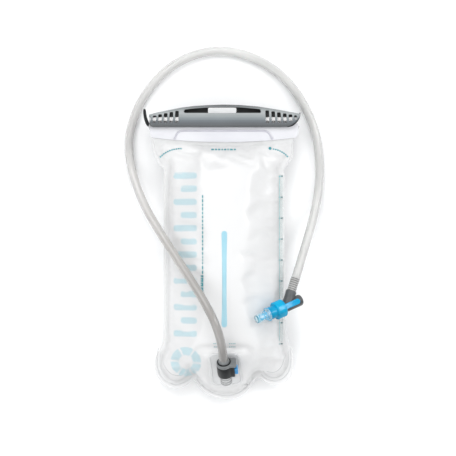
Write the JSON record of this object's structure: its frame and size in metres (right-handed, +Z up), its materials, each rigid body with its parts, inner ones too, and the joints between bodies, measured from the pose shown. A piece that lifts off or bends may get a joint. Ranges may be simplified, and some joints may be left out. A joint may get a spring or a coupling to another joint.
{
  "type": "hydration bladder",
  "caption": "Translucent water reservoir with a slide-off top closure, quick-connect outlet, looping drink tube and twist-lock bite valve, lying filled on its back.",
  "frame": {"origin": "on the ground under the middle of the rear film's flat resting face", "axes": "+Z up, away from the rear film; +Y along the bag from the outlet to the slide closure; +X to the right seen from the front"},
  "size_m": [0.2209, 0.3907, 0.0875],
  "materials": {
    "clear_film": "milky translucent film, soft gloss",
    "rail_plastic": "frosted stiff plastic",
    "baffle_blue": "smooth extruded plastic",
    "clear_plastic": "clear moulded plastic",
    "seal_rubber": "smooth rubber",
    "slider_grey": "satin moulded plastic",
    "soft_black": "soft-touch black",
    "connector_black": "satin moulded plastic",
    "cap_grey": "satin moulded plastic",
    "spring_steel": "bright steel",
    "tube": "translucent flexible tube",
    "elbow_grey": "fine matt moulded plastic",
    "button_blue": "smooth moulded plastic",
    "valve_blue": "translucent tinted plastic",
    "bite_silicone": "clear silicone"
  },
  "bodies": {
    "bladder": {"front_panel": "clear_film", "rear_panel": "clear_film", "front_rail": "rail_plastic", "rear_rail": "rail_plastic", "baffle_strip_front": "baffle_blue", "baffle_strip_rear": "baffle_blue", "port_base": "clear_plastic", "port_o_ring": "seal_rubber"},
    "slider": {"slider_body": "slider_grey", "slider_end_tab": "soft_black"},
    "connector": {"connector_body": "connector_black", "connector_cap": "cap_grey", "button_spring": "spring_steel", "poppet_spring": "spring_steel", "hose": "tube", "valve_elbow": "elbow_grey", "valve_o_ring": "seal_rubber"},
    "button": {"release_button": "button_blue", "latch_plate": "spring_steel"},
    "poppet": {"shutoff_poppet": "clear_plastic", "poppet_seal": "seal_rubber"},
    "valve_head": {"valve_collar": "valve_blue", "valve_core": "clear_plastic", "bite_sheath": "bite_silicone"}
  },
  "joints": [
    {"name": "slider_slide", "type": "slide", "parent": "bladder", "child": "slider", "axis": [-1, 0, 0], "range_m": [0, 0.17]},
    {"name": "hose_release", "type": "slide", "parent": "bladder", "child": "connector", "axis": [-0.09, 0.7398, 0.6668], "range_m": [0, 0.014]},
    {"name": "button_press", "type": "slide", "parent": "connector", "child": "button", "axis": [-0.9959, -0.0668, -0.0602], "range_m": [0, 0.0014], "stiffness_N_per_m": 600, "springref_m": -0.0015, "deforming": ["button_spring"]},
    {"name": "poppet_slide", "type": "slide", "parent": "connector", "child": "poppet", "axis": [0.09, -0.7398, -0.6668], "range_m": [0, 0.0018], "deforming": ["poppet_spring"]},
    {"name": "valve_twist", "type": "hinge", "parent": "connector", "child": "valve_head", "pos_m": [0.0844, -0.0515, 0.0375], "axis": [-0.8308, -0.3536, 0.4298], "range_deg": [-90, 0]}
  ],
  "couplings": [
    {"joint": "poppet_slide", "follows": "hose_release", "ratio": 0.1285}
  ]
}
